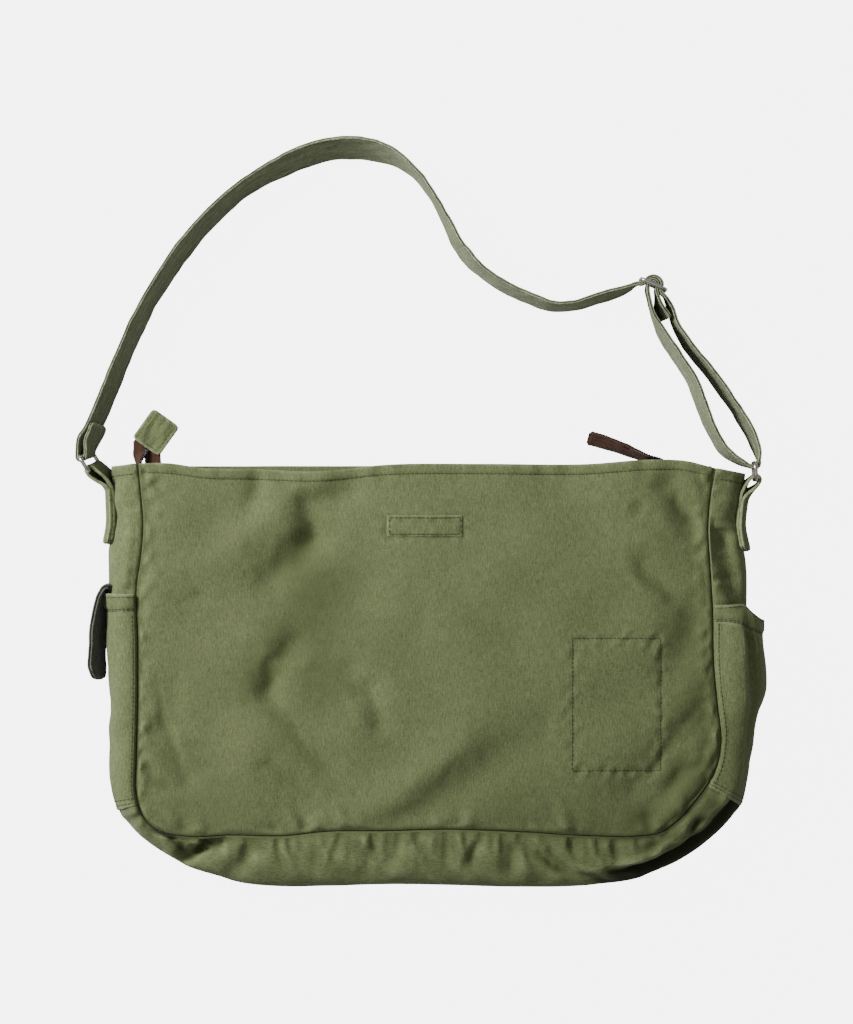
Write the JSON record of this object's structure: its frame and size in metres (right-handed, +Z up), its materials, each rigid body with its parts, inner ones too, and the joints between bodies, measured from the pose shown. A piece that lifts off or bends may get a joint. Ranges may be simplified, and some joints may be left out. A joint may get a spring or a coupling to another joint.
{
  "type": "canvas shoulder bag",
  "caption": "Washed canvas shoulder bag lying on its back: gusseted body with side pockets, open zip mouth and an adjustable strap on metal rings.",
  "frame": {"origin": "on the surface the bag lies on, under the middle of its front panel", "axes": "+X across the bag to the side with the strap's slider, +Y from the base to the mouth and the laid-out strap, +Z up from the surface"},
  "size_m": [0.5407, 0.5872, 0.0492],
  "materials": {
    "canvas_olive": "washed cotton canvas, matte",
    "canvas_charcoal": "brushed dark canvas, matte",
    "zip_tape_brown": "woven zip tape, matte",
    "zip_teeth_black": "moulded teeth",
    "metal_nickel": "worn nickel plate"
  },
  "bodies": {
    "root": {"front_panel": "canvas_olive", "back_panel": "canvas_olive", "side_gusset_left": "canvas_olive", "side_gusset_right": "canvas_olive", "base_panel": "canvas_olive", "side_pocket_left": "canvas_olive", "side_pocket_right": "canvas_olive", "pocket_flap": "canvas_charcoal", "tab_left": "canvas_olive", "tab_right": "canvas_olive", "ring_left": "metal_nickel", "ring_right": "metal_nickel", "strap": "canvas_olive", "slider": "metal_nickel", "zip_tape_front": "zip_tape_brown", "zip_tape_back": "zip_tape_brown", "zip_teeth_front": "zip_teeth_black", "zip_teeth_back": "zip_teeth_black", "zip_end_tab": "canvas_olive"}
  },
  "joints": []
}
